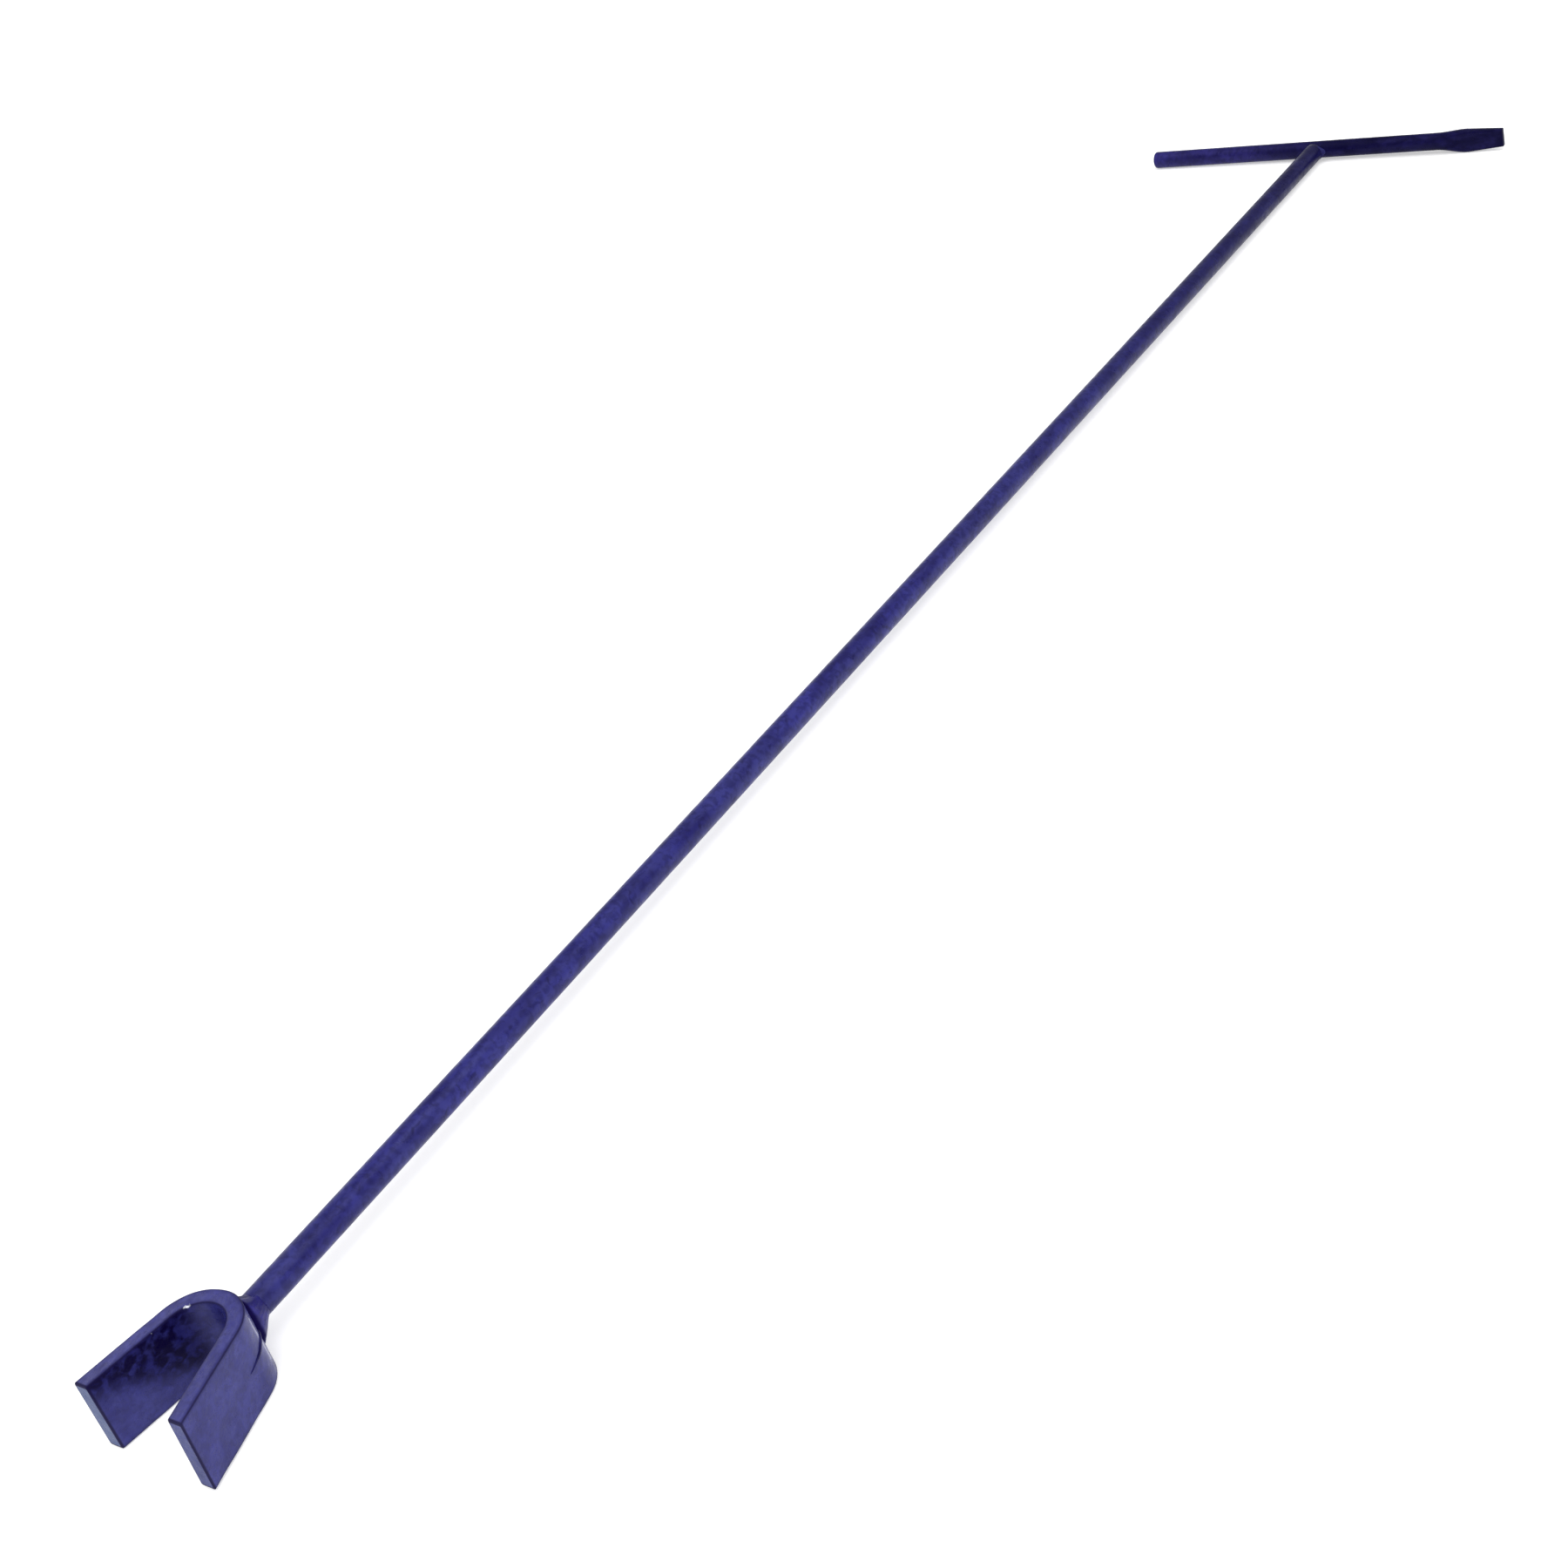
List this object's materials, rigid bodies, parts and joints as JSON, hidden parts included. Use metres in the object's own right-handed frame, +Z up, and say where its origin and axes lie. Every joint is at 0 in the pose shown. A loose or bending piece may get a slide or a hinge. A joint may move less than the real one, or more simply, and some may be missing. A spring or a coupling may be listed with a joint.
{
  "type": "t-handled valve key",
  "caption": "Long-handled valve key: round shank, U-shaped fork of flat bar welded to its foot and a thin cross handle with one flattened end, all in blue enamel.",
  "frame": {"origin": "middle of the underside of the whole key's box, on the floor that the key lies on", "axes": "+X along the shank from the fork to the handle, +Y along the handle towards its plain end, +Z up from the floor that the key lies on"},
  "size_m": [1.5288, 0.3226, 0.0433],
  "materials": {
    "shank_enamel": "gloss indigo enamel brushed or dipped over round steel bar",
    "jaw_enamel": "gloss indigo enamel over bent flat steel bar, mottled inside the fork and thin on the sawn ends",
    "handle_enamel": "gloss indigo enamel, darker, over round steel bar",
    "weld_enamel": "gloss indigo enamel over rippled weld metal"
  },
  "bodies": {
    "root": {"shank": "shank_enamel", "jaw": "jaw_enamel", "handle_bar": "handle_enamel", "foot_weld": "weld_enamel", "head_weld": "weld_enamel"}
  },
  "joints": []
}
